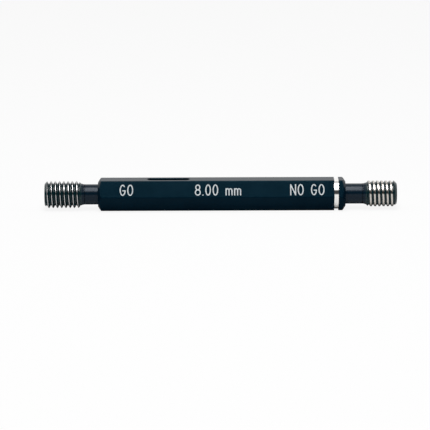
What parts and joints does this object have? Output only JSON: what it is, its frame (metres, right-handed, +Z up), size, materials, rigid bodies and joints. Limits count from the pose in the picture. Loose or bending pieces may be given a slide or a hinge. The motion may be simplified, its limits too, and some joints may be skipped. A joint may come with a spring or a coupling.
{
  "type": "thread plug gauge",
  "caption": "Double-ended plug gauge for a nut thread: a hexagonal handle with a full-form GO screw thread at one end and a truncated NO GO thread at the other.",
  "frame": {"origin": "on the surface that the gauge lies on, under the middle of its length", "axes": "+X along the gauge from the GO end to the NO GO end, +Z up, square to the handle's top and bottom flats; the marked flat faces -Y and up"},
  "size_m": [0.1036, 0.0102, 0.009],
  "materials": {
    "blackened_steel": "satin black oxide",
    "ground_steel": "hardened and ground thread, dark neck"
  },
  "bodies": {
    "root": {"handle": "blackened_steel", "go_member": "ground_steel", "no_go_member": "ground_steel"}
  },
  "joints": []
}
